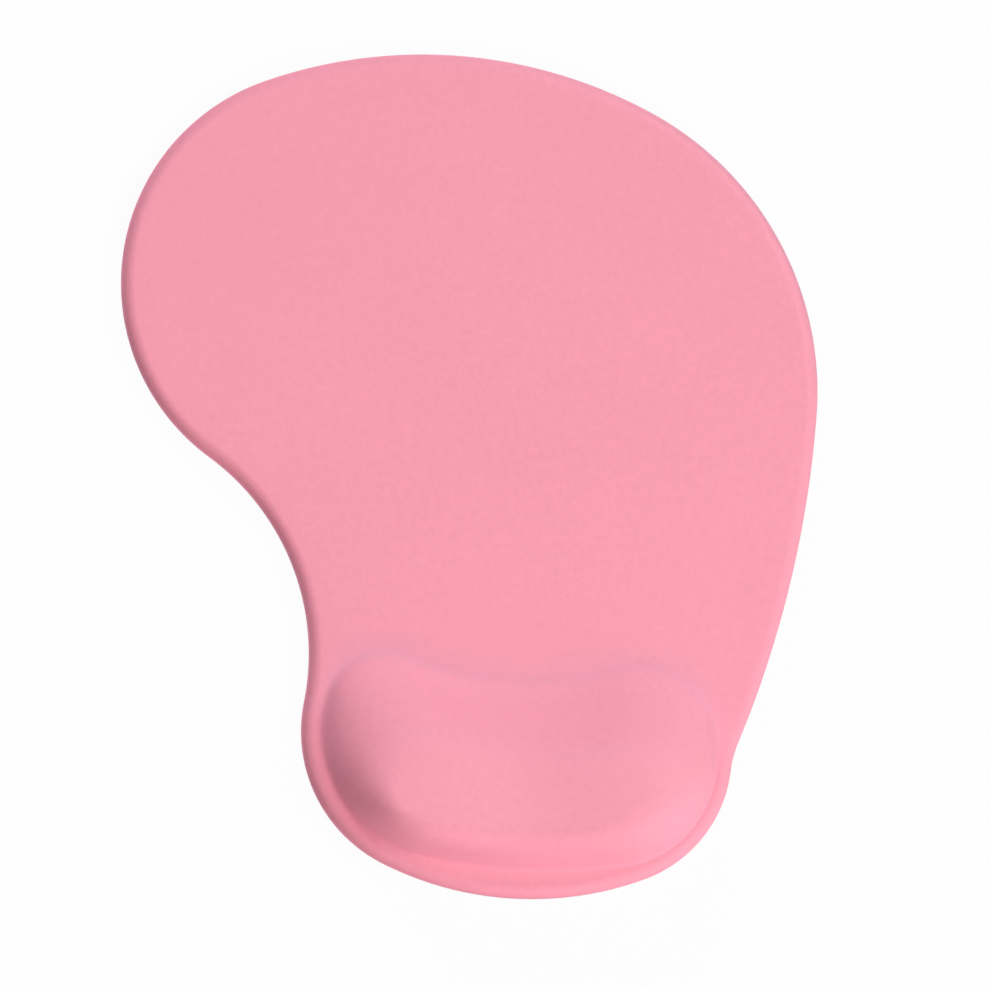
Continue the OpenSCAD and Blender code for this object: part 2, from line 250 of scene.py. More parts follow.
# the cushion at a depth as rings of points, ridge + ring * (foot - ridge): the crease outside the foot,
# the side, then the crown; the side is a slow slope by the cube of how straight it faces the mat, and
# narrower by the square of how straight it faces the tight bearing; the side's first four steps are halved,
# as the cloth turns fastest there
def padLoops(edges, depth, creaseSteps, sideSteps, crownSteps):
    c, ridge = cushionShape, edges["ridge"]
    flatHeight = layers["matThick"] - depth
    feet = edges["pad"][:, :2] - layers["footShare"] * depth * edges["pad"][:, 2:]
    heart = ridgePoints(feet, ridge)
    reach = np.linalg.norm(feet - heart, axis=1)
    facing = (feet[:, 1] - heart[:, 1]) / reach
    slow = np.maximum(0, facing) ** 3
    across = (feet - heart) @ heading(c["tightFacing"]) / reach
    share = c["sideShare"] * (1 - c["tight"] * np.maximum(0, across) ** 2)
    a = math.radians(c["sideAngle"])
    sideTs = 1 - np.cos(np.linspace(a, math.pi / 2, sideSteps)) / math.cos(a)
    sideTs = np.sort(np.concatenate([sideTs, (sideTs[:4] + sideTs[1:5]) / 2]))
    crease = edges["crease"] / reach
    rings = [1 + crease * v for v in np.linspace(1, 0, creaseSteps + 1)[:-1]]
    rings += [1 - share * t for t in sideTs]
    rings += [(1 - share) * v for v in np.linspace(1, c["lastRing"], crownSteps)[1:]]
    loops = []
    for ring in rings:
        xy = heart + ring[:, None] * (feet - heart)
        rise = cushionRise((1 - ring) / share, ring, slow, crease / share, *xy.T, ridge)
        loops.append(np.column_stack([xy, flatHeight + rise]))
    return loops


# quads between neighbouring loops, which run anticlockwise as seen from the last one
def loopQuads(first, loopCount, n):
    i, j = np.meshgrid(np.arange(loopCount - 1), np.arange(n), indexing="ij")
    low, high, k = i * n, (i + 1) * n, (j + 1) % n
    return first + np.stack([low + j, low + k, high + k, high + j], axis=-1).reshape(-1, 4)


# lattice over a loop's box: rows a share of the pitch apart, and every second one moved by half the pitch
def lattice(loop, pitch):
    low, high = loop[:, :2].min(axis=0), loop[:, :2].max(axis=0)
    gx, gy = np.meshgrid(np.arange(low[0], high[0], pitch), np.arange(low[1], high[1], pitch * rowPitch))
    gx[1::2] += pitch / 2
    return np.column_stack([gx.ravel(), gy.ravel()])


# distance of each point from the nearest one of some others
def distanceTo(points, others):
    return np.sqrt(((points[:, None] - others[None]) ** 2).sum(axis=2).min(axis=1))


# triangles over the space inside a loop, less a hole if there is one: over the loops' own points and the
# extra ones, or else a lattice that keeps room, in pitches, from the loops; returns these inner points and
# the triangles
def fillFlat(outer, hole=None, pitch=5.0, room=0.7, extra=None):
    loops = [outer] if hole is None else [outer, hole]
    edge = np.concatenate(loops)[:, :2]
    grid = extra
    if extra is None:
        grid = lattice(outer, pitch)
        grid = grid[insideLoops(grid, loops) & (distanceTo(grid, edge[::2]) > pitch * room)]
    flatPoints = np.concatenate([edge, grid])
    rings, first = [], 0
    for loop in loops:
        i = np.arange(len(loop))
        rings += (first + np.stack([i, (i + 1) % len(loop)], axis=1)).tolist()
        first += len(loop)
    nearly = 1e-6  # mm within which two points count as one
    found = delaunay_2d_cdt([Vector(p) for p in flatPoints.tolist()], rings, [], 1, nearly)
    back = np.array([ids[0] for ids in found[3]])
    triangles = back[np.array(found[2])]
    triangles = triangles[insideLoops(flatPoints[triangles].mean(axis=1), loops)]
    a, b, c = (flatPoints[triangles[:, i]] for i in range(3))
    area = (b[:, 0] - a[:, 0]) * (c[:, 1] - a[:, 1]) - (b[:, 1] - a[:, 1]) * (c[:, 0] - a[:, 0])
    triangles[area < 0] = triangles[area < 0][:, ::-1]
    return grid, triangles


# which points lie inside the loops: a ray to the right crosses their edges an odd number of times
def insideLoops(points, loops):
    crossings = np.zeros(len(points), int)
    px, py = points[:, :1], points[:, 1:]
    for loop in loops:
        x, y = loop[:, 0], loop[:, 1]
        nextX, nextY = np.roll(x, -1), np.roll(y, -1)
        level = np.where(nextY == y, 1, nextY - y)
        crossings += (((y > py) != (nextY > py)) & (px < x + (py - y) * (nextX - x) / level)).sum(axis=1)
    return crossings % 2 == 1


# the crown over the ridge line, filled inside the cushion's last ring; at the ridge the side is at its top
def fillCrown(edges, depth, lastRing, pitch=2.5):
    grid, triangles = fillFlat(lastRing, pitch=pitch)
    zero = np.zeros(len(grid))
    rise = cushionRise(zero + 1, zero, zero, zero, *grid.T, edges["ridge"])
    return np.column_stack([grid, layers["matThick"] - depth + rise]), triangles


# a whole upper face at a depth: rim, flat and cushion joined in one set of points and faces
def stackFace(edges, depth, foot, rimSteps, padSteps):
    rim, pad = rimLoops(edges, depth, foot, rimSteps), padLoops(edges, depth, *padSteps)
    n, m = len(edges["mat"]), len(edges["pad"])
    grid, fill = fillFlat(rim[-1], pad[0])
    crown, crownFill = fillCrown(edges, depth, pad[-1])
    padFirst = len(rim) * n
    gridFirst = padFirst + len(pad) * m
    crownFirst = gridFirst + len(grid)
    place = np.concatenate([
        np.arange(padFirst - n, padFirst + m), np.arange(gridFirst, crownFirst)])
    crownPlace = np.concatenate([
        np.arange(gridFirst - m, gridFirst), np.arange(crownFirst, crownFirst + len(crown))])
    points = np.concatenate([*rim, *pad, atHeight(grid, layers["matThick"] - depth), crown])
    quads = np.concatenate([loopQuads(0, len(rim), n), loopQuads(padFirst, len(pad), m)])
    triangles = np.concatenate([place[fill], crownPlace[crownFill]])
    return points, quads, triangles, clothPlaces(rim, pad, grid, crown)


# where each point lies on the flat cloth: up the cushion the cloth's own length counts, so a spoke's points
# move out by what the slope adds to their distance; the flat round the foot gives way by the square of what
# is left of the reach, and the rim's points follow the length round the rim
def clothPlaces(rim, pad, grid, crown, reach=45.0):
    rim, pad = np.array(rim), np.array(pad)
    step = np.diff(pad, axis=0)
    longer = np.linalg.norm(step, axis=2) - np.linalg.norm(step[:, :, :2], axis=2)
    extra = np.concatenate([np.cumsum(longer[::-1], axis=0)[::-1], np.zeros((1, pad.shape[1]))])
    out = pad[0, :, :2] - pad[-1, :, :2]
    out /= np.linalg.norm(out, axis=1)[:, None]
    padPlace = pad[:, :, :2] + extra[:, :, None] * out

    def giveWay(xy):
        away = np.sqrt(((xy[:, None] - pad[0][None, :, :2]) ** 2).sum(axis=2))
        near = away.argmin(axis=1)
        left = np.maximum(0, 1 - away.min(axis=1) / reach) ** 2
        return xy + (left * extra[0, near])[:, None] * out[near]

    edge = rim[0, :, :2] - rim[-1, :, :2]
    edge /= np.linalg.norm(edge, axis=1)[:, None]
    along = np.linalg.norm(np.diff(rim, axis=0), axis=2)
    around = np.concatenate([np.cumsum(along[::-1], axis=0)[::-1], np.zeros((1, rim.shape[1]))])
    rimPlace = giveWay(rim[-1, :, :2])[None] + around[:, :, None] * edge
    return np.concatenate([rimPlace.reshape(-1, 2), padPlace.reshape(-1, 2), giveWay(grid), crown[:, :2]])


# spread of the painted shade in the crease round the cushion's foot: width in mm, share at the front and
# sideways
creaseSoft = dict(width=2.1, front=0.1, sideways=0.5)  # the shade is full behind the cushion


# how much painted shade a point takes in the crease round the cushion's foot, standing in for the shade that
# falls into
# the fold: exp(-(distance from the foot / width)^2), times front + (1 - front) * (how straight the foot
# faces the mat, from -1 to 1, + sideways), the last kept within 0 and 1
def creaseShade(points):
    foot, c = edges["pad"], creaseSoft
    away = np.sqrt(((points[:, None, :2] - foot[None, :, :2]) ** 2).sum(axis=2))
    toBack = np.clip(foot[away.argmin(axis=1), 3] + c["sideways"], 0, 1)
    return np.exp(-(away.min(axis=1) / c["width"]) ** 2) * (c["front"] + (1 - c["front"]) * toBack)


# a mesh piece from points in millimetres and its faces
def meshPiece(name, points, *faces):
    mesh = bpy.data.meshes.new(name)
    mesh.from_pydata((points * mm).tolist(), [], [f for some in faces for f in some.tolist()])
    mesh.polygons.foreach_set("use_smooth", np.ones(len(mesh.polygons), bool))
    mesh.update()
    piece = bpy.data.objects.new(name, mesh)
    bpy.context.collection.objects.link(piece)
    return piece


# skin between two depths: an outer face, an inner face turned over, and a strip round the trimmed edge
def skinPiece(name, edges, outerDepth, innerDepth, fine, coarse):
    foot = layers["trimHeight"]
    points, quads, triangles, places = stackFace(edges, outerDepth, foot, *fine)
    innerPoints, innerQuads, innerTriangles, innerPlaces = stackFace(edges, innerDepth, foot, *coarse)
    under, n = len(points), len(edges["mat"])
    j = np.arange(n)
    k = (j + 1) % n
    trim = np.stack([under + j, under + k, k, j], axis=1)
    points, places = np.concatenate([points, innerPoints]), np.concatenate([places, innerPlaces])
    piece = meshPiece(
        name, points, quads, innerQuads[:, ::-1] + under, trim, triangles, innerTriangles[:, ::-1] + under)
    # each point's share of the crease's painted shade
    shade = piece.data.attributes.new("creaseShade", "FLOAT", "POINT")
    shade.data.foreach_set("value", creaseShade(points))
    place = piece.data.attributes.new("clothPlace", "FLOAT_VECTOR", "POINT")
    place.data.foreach_set("vector", np.column_stack([places, np.zeros(len(places))]).ravel())
    return piece


edges = findEdges(matCount=720, padCount=480)
fineFace, midFace = (14, (5, 26, 12)), (5, (2, 9, 5))  # steps of the rim, then of crease, side and crown
cover = skinPiece("matCover", edges, 0.0, layers["cover"], fineFace, midFace)
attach(cover, "root")
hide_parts("fabric_cover")
print("cover:", len(cover.data.vertices), "points")

s = layers
foamDepth, foamLow = s["cover"] + s["glue"], s["base"] + s["glue"]
gelDepth, gelLow = foamDepth + s["film"], foamLow + s["film"]
pocketInset = s["footShare"] * foamDepth


# foam round the gel: rim and flat as in the shared face, then down the cut-out's wall to a flat underside
def makeFoam(edges):
    n, m = len(edges["mat"]), len(edges["pad"])
    rim = rimLoops(edges, foamDepth, foamLow, midFace[0])
    hole = edgeLoops(edges["pad"], pocketInset, (s["matThick"] - foamDepth, foamLow))
    grid, fill = fillFlat(rim[-1], hole[0])
    lowGrid, lowFill = fillFlat(rim[0], hole[1])
    holeFirst = len(rim) * n
    gridFirst = holeFirst + 2 * m
    lowFirst = gridFirst + len(grid)
    points = np.concatenate([
        *rim, *hole, atHeight(grid, s["matThick"] - foamDepth), atHeight(lowGrid, foamLow)])
    place = np.concatenate([np.arange(holeFirst - n, holeFirst + m), np.arange(gridFirst, lowFirst)])
    lowPlace = np.concatenate([
        np.arange(n), np.arange(holeFirst + m, gridFirst), np.arange(lowFirst, len(points))])
    quads = np.concatenate([loopQuads(0, len(rim), n), loopQuads(holeFirst, 2, m)])
    return meshPiece("foamCore", points, quads, place[fill], lowPlace[lowFill][:, ::-1])


# a gel face at a depth: the plug's wall from a height and inset, then the crowned cushion over it
def gelFace(depth, low, inset):
    pad = padLoops(edges, depth, *midFace[1])[midFace[1][0]:]
    wall = edgeLoops(edges["pad"], inset, (low, 0.5 * (low + s["matThick"] - depth)))
    crown, fill = fillCrown(edges, depth, pad[-1])
    m, count = len(edges["pad"]), len(wall + pad)
    place = np.arange((count - 1) * m, count * m + len(crown))
    return np.concatenate([*wall, *pad, crown]), loopQuads(0, count, m), place[fill]


# gel body: a gel face closed by a flat underside
def makeGel():
    points, quads, triangles = gelFace(gelDepth, gelLow, pocketInset + s["film"])
    m, first = len(edges["pad"]), len(points)
    grid, fill = fillFlat(points[:m])
    place = np.concatenate([np.arange(m), np.arange(first, first + len(grid))])
    points = np.concatenate([points, atHeight(grid, gelLow)])
    return meshPiece("gelBody", points, quads, triangles, place[fill][:, ::-1])


# film over the gel: two gel faces a film's thickness apart, joined round their lower edge
def makeGelSkin():
    outer, outerQuads, outerFill = gelFace(foamDepth, gelLow, pocketInset)
    inner, innerQuads, innerFill = gelFace(gelDepth, gelLow, pocketInset + s["film"])
    under, j = len(outer), np.arange(len(edges["pad"]))
    k = (j + 1) % len(j)
    strip = np.stack([under + j, under + k, k, j], axis=1)
    return meshPiece(
        "gelSkin", np.concatenate([outer, inner]), outerQuads, outerFill,
        innerQuads[:, ::-1] + under, innerFill[:, ::-1] + under, strip)


foam, gel, gelSkin = makeFoam(edges), makeGel(), makeGelSkin()
glueLayer = skinPiece("coverGlue", edges, s["cover"], foamDepth, midFace, midFace)


# flat sheet between two heights, within an edge moved in by an inset; cells are points of the underside that
# take the place of the flat's lattice there, each with its own height
def platePiece(name, edge, inset, low, high, cells=None):
    loops = edgeLoops(edge, inset, (low, high))
    grid, fill = fillFlat(loops[1])
    underPoints, underFill = atHeight(grid, low), fill
    if cells is not None:
        underPoints, underFill = cells, fillFlat(loops[0], extra=cells[:, :2])[1]
    n, first = len(edge), 2 * len(edge) + len(underPoints)
    points = np.concatenate([*loops, underPoints, atHeight(grid, high)])
    lowPlace = np.concatenate([np.arange(n), np.arange(2 * n, first)])
    highPlace = np.concatenate([np.arange(n, 2 * n), np.arange(first, len(points))])
    return meshPiece(name, points, loopQuads(0, 2, n), lowPlace[underFill][:, ::-1], highPlace[fill])


gelBase = platePiece("gelBase", edges["pad"], pocketInset, foamLow, gelLow)
baseGlue = platePiece("baseGlue", edges["mat"], foamDepth, s["base"], foamLow)

# cells pressed into the underside: half a cell across its corners at the table and at its floor
grip = dict(pitch=5.0, cell=1.9, floor=1.35, deep=0.3, margin=2.5)


# base sheet: its underside is a honeycomb, each cell a hexagon of six points at the table with a smaller
# one a depth above it, and no cell is nearer to the edge than the margin
def makeBaseSheet(g):
    inset = edgeLoops(edges["mat"], foamDepth, (0.0,))[0]
    centres = lattice(inset, g["pitch"])
    gap = distanceTo(centres, inset[::2, :2])
    centres = centres[insideLoops(centres, [inset]) & (gap > g["cell"] + g["margin"])]
    hexagon = heading(np.arange(6) * 60 + 30).T
    cells = np.concatenate([
        atHeight((centres[:, None] + radius * hexagon).reshape(-1, 2), z)
        for radius, z in ((g["cell"], 0.0), (g["floor"], g["deep"]))])
    piece = platePiece("baseSheet", edges["mat"], foamDepth, 0.0, s["base"], cells)
    piece.data.polygons.foreach_set("use_smooth", np.zeros(len(piece.data.polygons), bool))
    print("base sheet:", len(centres), "cells")
    return piece


baseSheet = makeBaseSheet(grip)
for piece, node, slot in (
        (foam, "foam_mat", "foam"), (gel, "gel_core", "gel"), (gelSkin, "gel_film_upper", "gel_film"),
        (gelBase, "gel_film_lower", "gel_film"), (glueLayer, "cover_adhesive", "adhesive"),
        (baseGlue, "base_adhesive", "adhesive"), (baseSheet, "base_sheet", "base")):
    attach(piece, "root")
    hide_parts(node)
print("inner layers made")


# a new material, its node tree and its shader
def newMaterial(name):
    material = bpy.data.materials.new(name)
    material.use_nodes = True
    return material, material.node_tree, material.node_tree.nodes["Principled BSDF"]


# a new node group with its inlets and outlets
def newGroup(name, inputs, outputs):
    tree = bpy.data.node_groups.new(name, "ShaderNodeTree")
    for socket, kind, value in inputs:
        item = tree.interface.new_socket(socket, in_out="INPUT", socket_type=kind)
        if value is not None:
            item.default_value = value
    for socket, kind in outputs:
        tree.interface.new_socket(socket, in_out="OUTPUT", socket_type=kind)
    return tree, tree.nodes.new("NodeGroupInput").outputs, tree.nodes.new("NodeGroupOutput")


# sets a node's sockets, by name or number, to a value or links them to another node's outlet
def feed(tree, node, sockets):
    for socket, value in sockets.items():
        if isinstance(value, bpy.types.NodeSocket):
            tree.links.new(value, node.inputs[socket])
        else:
            node.inputs[socket].default_value = value


# a new node of a kind, with its options set and its sockets fed
def addNode(tree, kind, sockets=None, **options):
    node = tree.nodes.new("ShaderNode" + kind)
    for option, value in options.items():
        setattr(node, option, value)
    feed(tree, node, sockets or {})
    return node


# outlet of a sum on numbers and other nodes' outlets
def mathNode(tree, operation, *values, clamp=False):
    return addNode(tree, "Math", dict(enumerate(values)), operation=operation, use_clamp=clamp).outputs[0]


# first * (1 - share) + second * share, each colour a tuple or a node's outlet
def mixColour(tree, share, first, second):
    first, second = ((*c, 1) if isinstance(c, tuple) else c for c in (first, second))
    return addNode(tree, "Mix", {0: share, 6: first, 7: second}, data_type="RGBA").outputs[2]


# the normal that a height raises, with its depth in mm
def bumpNormal(tree, height, strength, depth):
    bump = addNode(tree, "Bump", {"Strength": strength, "Distance": depth * mm, "Height": height})
    return bump.outputs["Normal"]


# outlets of a group's copy in a tree
def useGroup(tree, group, sockets):
    return addNode(tree, "Group", sockets, node_tree=group).outputs


knitLook = dict(
    ribs=1.9, rows=2.4,  # to a millimetre
    wobbleScale=0.35, wobbleDetail=3, wobble=0.5,  # a noise that bends both, by so many mm in all
    roundness=0.6, slant=1.1, rowShare=0.45)


# knit: u counts the ribs across and v the rows along; height = |sin(pi u)| ^ roundness * (1 - rowShare +
# rowShare * sin(2 pi (v + slant * distance from the rib's middle))), so each stitch is a small V
def makeKnitGroup(look):
    tree, start, end = newGroup(
        "knitStitches",
        [("Place", "NodeSocketVector", None),
         ("Ribs", "NodeSocketFloat", look["ribs"]), ("Rows", "NodeSocketFloat", look["rows"])],
        [("Height", "NodeSocketFloat"), ("Gap", "NodeSocketFloat")])
    wobble = addNode(tree, "TexNoise", {
        "Vector": start["Place"], "Scale": look["wobbleScale"], "Detail": look["wobbleDetail"]})
    shift = mathNode(tree, "MULTIPLY_ADD", wobble.outputs["Fac"], look["wobble"], -look["wobble"] / 2)
    x, y, _ = addNode(tree, "SeparateXYZ", {0: start["Place"]}).outputs
    u = mathNode(tree, "MULTIPLY", mathNode(tree, "ADD", x, shift), start["Ribs"])
    v = mathNode(tree, "MULTIPLY", mathNode(tree, "ADD", y, shift), start["Rows"])
    rib = mathNode(tree, "ABSOLUTE", mathNode(tree, "SINE", mathNode(tree, "MULTIPLY", u, math.pi)))
    rib = mathNode(tree, "POWER", rib, look["roundness"])
    slant = mathNode(tree, "MULTIPLY", mathNode(tree, "PINGPONG", u, 0.5), look["slant"])
    row = mathNode(tree, "SINE", mathNode(tree, "MULTIPLY", mathNode(tree, "ADD", v, slant), 2 * math.pi))
    row = mathNode(tree, "MULTIPLY_ADD", row, look["rowShare"], 1 - look["rowShare"])
    height = mathNode(tree, "MULTIPLY", rib, row)
    feed(tree, end, {"Height": height, "Gap": mathNode(tree, "SUBTRACT", 1.0, height, clamp=True)})
    return tree


grainLook = dict(
    noises=dict(Blotch=(0.02, 4), Fibre=(0.5, 6), Speck=(3.0, 2)),  # scale to a millimetre, and detail
    speckFrom=0.62, speckGain=4)


# grain: three noises of growing scale; blotches and fibres are the noise less a half, so they lie about 0,
# and specks are what rises above a level, times a gain, from 0 to 1
def makeGrainGroup(look):
    tree, start, end = newGroup(
        "fineGrain",
        [("Place", "NodeSocketVector", None), ("Scale", "NodeSocketFloat", 1.0)],
        [(name, "NodeSocketFloat") for name in look["noises"]])
    for name, (scale, detail) in look["noises"].items():
        size = mathNode(tree, "MULTIPLY", start["Scale"], scale)
        noise = addNode(tree, "TexNoise", {"Vector": start["Place"], "Scale": size, "Detail": detail})
        if name == "Speck":
            value = mathNode(tree, "SUBTRACT", noise.outputs["Fac"], look["speckFrom"], clamp=True)
            value = mathNode(tree, "MULTIPLY", value, look["speckGain"], clamp=True)
        else:
            value = mathNode(tree, "SUBTRACT", noise.outputs["Fac"], 0.5)
        feed(tree, end, {name: value})
    return tree


knitStitches, fineGrain = makeKnitGroup(knitLook), makeGrainGroup(grainLook)

# cloth colours in linear light; stitch gaps, blotches and the worn crown shift the main one, and the
# crease's colour is painted shade laid along the cushion's foot
clothLook = dict(
    colour=(0.985, 0.380, 0.464), gapColour=(0.84, 0.275, 0.36), gapShare=0.13,
    creaseShadeColour=(0.85, 0.36, 0.468), creaseShadeShare=0.6, blotch=0.06, fibre=0.10,
    worn=0.02, wornFrom=15.5, wornTo=20.0, wornPatch=0.6,
    roughness=0.92, specular=0.12, sheen=0.20, sheenRoughness=0.5, sheenTint=(1.0, 0.58, 0.85, 1),
    bump=0.4, stitch=0.08, fuzz=0.5)


# knitted cover: stitches and fibres on the cloth's own places; the crown, between two heights in mm, is a
# touch paler and fuzzier where wrists rub it, and the crease is darkened with painted shade, in the measure
# of the crease's shade
def makeCoverMaterial(look):
    material, tree, shader = newMaterial("pinkKnit")
    place = addNode(tree, "Attribute", attribute_name="clothPlace").outputs["Vector"]
    knit, grain = (useGroup(tree, group, {"Place": place}) for group in (knitStitches, fineGrain))
    coords = addNode(tree, "TexCoord").outputs["Object"]
    crown = addNode(tree, "MapRange", {
        "Value": addNode(tree, "SeparateXYZ", {0: coords}).outputs[2],
        "From Min": look["wornFrom"] * mm, "From Max": look["wornTo"] * mm}, interpolation_type="SMOOTHSTEP")
    patch = mathNode(tree, "ADD", grain["Blotch"], look["wornPatch"], clamp=True)
    worn = mathNode(tree, "MULTIPLY", crown.outputs[0], patch)
    gap = mathNode(tree, "MULTIPLY", knit["Gap"], look["gapShare"])
    light = mathNode(tree, "MULTIPLY_ADD", grain["Blotch"], look["blotch"], 1.0)
    light = mathNode(tree, "MULTIPLY_ADD", grain["Fibre"], look["fibre"], light)
    toned = addNode(tree, "HueSaturation", {
        "Color": mixColour(tree, gap, look["colour"], look["gapColour"]), "Value": light,
        "Saturation": mathNode(tree, "MULTIPLY_ADD", worn, -look["worn"], 1.0)})
    # painted shade in the crease round the cushion's foot, mixed into the base colour
    crease = addNode(tree, "Attribute", attribute_name="creaseShade").outputs["Fac"]
    crease = mathNode(tree, "MULTIPLY", crease, look["creaseShadeShare"])
    height = mathNode(tree, "MULTIPLY_ADD", grain["Fibre"], look["fuzz"], knit["Height"])
    feed(tree, shader, {
        "Base Color": mixColour(tree, crease, toned.outputs[0], look["creaseShadeColour"]),
        "Normal": bumpNormal(tree, height, look["bump"], look["stitch"]),
        "Roughness": look["roughness"], "Specular IOR Level": look["specular"],
        "Sheen Weight": mathNode(tree, "MULTIPLY_ADD", worn, look["sheen"], look["sheen"]),
        "Sheen Roughness": look["sheenRoughness"], "Sheen Tint": look["sheenTint"]})
    return material


cover.data.materials.append(makeCoverMaterial(clothLook))

poreLook = dict(size=0.8, pit=2.2)  # a bubble's width in mm, and how fast a pit ends away from its middle


# closed foam: the wall is the distance from a bubble's middle, in bubbles, and the pit is 1 less a multiple
# of it
def makePoresGroup(look):
    tree, start, end = newGroup(
        "foamPores",
        [("Place", "NodeSocketVector", None), ("Size", "NodeSocketFloat", look["size"])],
        [("Wall", "NodeSocketFloat"), ("Pit", "NodeSocketFloat")])
    scale = mathNode(tree, "DIVIDE", 1.0, start["Size"])
    cells = addNode(tree, "TexVoronoi", {"Vector": start["Place"], "Scale": scale}, feature="SMOOTH_F1")
    wall = cells.outputs["Distance"]
    pit = mathNode(tree, "SUBTRACT", 1.0, mathNode(tree, "MULTIPLY", wall, look["pit"]), clamp=True)
    feed(tree, end, {"Wall": wall, "Pit": pit})
    return tree


foamPores = makePoresGroup(poreLook)

# the hidden layers: main and shade colours, roughness and how much it varies, bubble size in mm (0 for
# none), how much of the light passes, bump height in mm, share of the dust's colour in the specks
layerLooks = dict(
    baseSheet=dict(
        colour=(0.028, 0.028, 0.031), shade=(0.016, 0.016, 0.018),
        roughness=0.62, vary=0.18, bubble=0, clear=0, bump=0.05, dust=0.10),
    baseGlue=dict(
        colour=(0.78, 0.72, 0.55), shade=(0.66, 0.58, 0.40),
        roughness=0.35, vary=0.25, bubble=0, clear=0.2, bump=0.04, dust=0),
    foamCore=dict(
        colour=(0.80, 0.78, 0.73), shade=(0.60, 0.57, 0.51),
        roughness=0.93, vary=0.05, bubble=0.9, clear=0, bump=0.18, dust=0),
    gelBase=dict(
        colour=(0.78, 0.83, 0.88), shade=(0.68, 0.75, 0.82),
        roughness=0.22, vary=0.12, bubble=0, clear=0.5, bump=0.03, dust=0),
    gelBody=dict(
        colour=(0.46, 0.68, 0.80), shade=(0.36, 0.60, 0.76),
        roughness=0.16, vary=0.08, bubble=2.4, clear=0.6, bump=0.03, dust=0),
    gelSkin=dict(
        colour=(0.80, 0.85, 0.90), shade=(0.70, 0.77, 0.84),
        roughness=0.2, vary=0.12, bubble=0, clear=0.5, bump=0.03, dust=0),
    coverGlue=dict(
        colour=(0.80, 0.74, 0.57), shade=(0.68, 0.60, 0.42),
        roughness=0.35, vary=0.25, bubble=0, clear=0.2, bump=0.04, dust=0),
)
# what they all share: fibres in the height beside bubbles, pits in the shade, bump strength, dust's colour
layerShares = dict(fibre=0.4, pit=0.5, strength=0.5, ior=1.45, dust=(0.45, 0.43, 0.40))


# colour = mix(colour, shade, grain and pits), paler where dust specks lie; roughness = roughness + vary *
# grain; bubbles or fibres raise the normal
def makeLayerMaterial(name, look, shares):
    material, tree, shader = newMaterial(name + "Finish")
    coords = addNode(tree, "TexCoord").outputs["Object"]
    place = addNode(tree, "VectorMath", {0: coords, "Scale": 1 / mm}, operation="SCALE").outputs[0]
    grain = useGroup(tree, fineGrain, {"Place": place})
    height, share = grain["Fibre"], mathNode(tree, "ADD", grain["Blotch"], 0.5, clamp=True)
    if look["bubble"]:
        pores = useGroup(tree, foamPores, {"Place": place, "Size": look["bubble"]})
        height = mathNode(tree, "MULTIPLY_ADD", grain["Fibre"], shares["fibre"], pores["Wall"])
        share = mathNode(tree, "MULTIPLY", share, 1 - shares["pit"])
        share = mathNode(tree, "MULTIPLY_ADD", pores["Pit"], shares["pit"], share, clamp=True)
    tone = mixColour(tree, share, look["colour"], look["shade"])
    dust = mathNode(tree, "MULTIPLY", grain["Speck"], look["dust"])
    feed(tree, shader, {
        "Base Color": mixColour(tree, dust, tone, shares["dust"]),
        "Roughness": mathNode(
            tree, "MULTIPLY_ADD", grain["Fibre"], look["vary"], look["roughness"], clamp=True),
        "Normal": bumpNormal(tree, height, shares["strength"], look["bump"]),
        "Transmission Weight": look["clear"], "IOR": shares["ior"]})
    return material


for piece in (baseSheet, baseGlue, foam, gelBase, gel, gelSkin, glueLayer):
    piece.data.materials.append(makeLayerMaterial(piece.name, layerLooks[piece.name], layerShares))
print("finishes set:", len(layerLooks) + 1)

camera = dict(
    frameWidth=268.3,  # mm across the picture at the mat's flat
    aimX=6.6, aimY=-5.4, aimZ=5.0, distance=4000.0,
    tilt=6.0, fromLeft=45.0,  # degrees off straight down, and how far round to the left of the near side
    sensor=36, near=0.05, far=20,  # sensor in mm, nearest and furthest distance seen in metres
)


# the lens is as long as the sensor is wide at the camera's distance over the frame's width
def makeCamera(c):
    data = bpy.data.cameras.new("photoCamera")
    data.sensor_width = c["sensor"]
    data.lens = c["sensor"] * c["distance"] / c["frameWidth"]
    data.clip_start, data.clip_end = c["near"], c["far"]
    obj = bpy.data.objects.new("photoCamera", data)
    bpy.context.collection.objects.link(obj)
    aim = Vector((c["aimX"], c["aimY"], c["aimZ"])) * mm
    tilt, turn = math.radians(c["tilt"]), math.radians(c["fromLeft"])
    back = Vector((-math.sin(turn) * math.sin(tilt), -math.cos(turn) * math.sin(tilt), math.cos(tilt)))
    right = Vector((0, 1, 0)).cross(back).normalized()
    turned = Matrix((right, back.cross(right), back)).transposed().to_4x4()
    obj.matrix_world = Matrix.Translation(aim + back * c["distance"] * mm) @ turned
    bpy.context.scene.camera = obj


makeCamera(camera)

# each lamp: bearing and height as seen from the mat in degrees, distance and width in metres, and the share
# of full light that it alone gives the flat; the last stands beneath at the left and shines up through the
# floor, as a white table throws light under the rim
lamps = dict(
    key=dict(bearing=0, height=42, distance=3.2, width=1.6, share=0.385, colour=(0.84, 0.98, 0.97)),
    front=dict(bearing=-74, height=42, distance=3.2, width=1.4, share=0.37, colour=(1.15, 0.98, 1.01)),
    farSide=dict(bearing=110, height=16, distance=3.2, width=1.2, share=0.19, colour=(1.06, 1.0, 1.08)),
    nearSide=dict(bearing=-60, height=14, distance=3.2, width=1.2, share=0.04, colour=(1.1, 0.9, 1.0)),
    under=dict(bearing=190, height=-62, distance=3.2, width=1.4, share=0.42, colour=(1.0, 0.92, 1.0)),
)


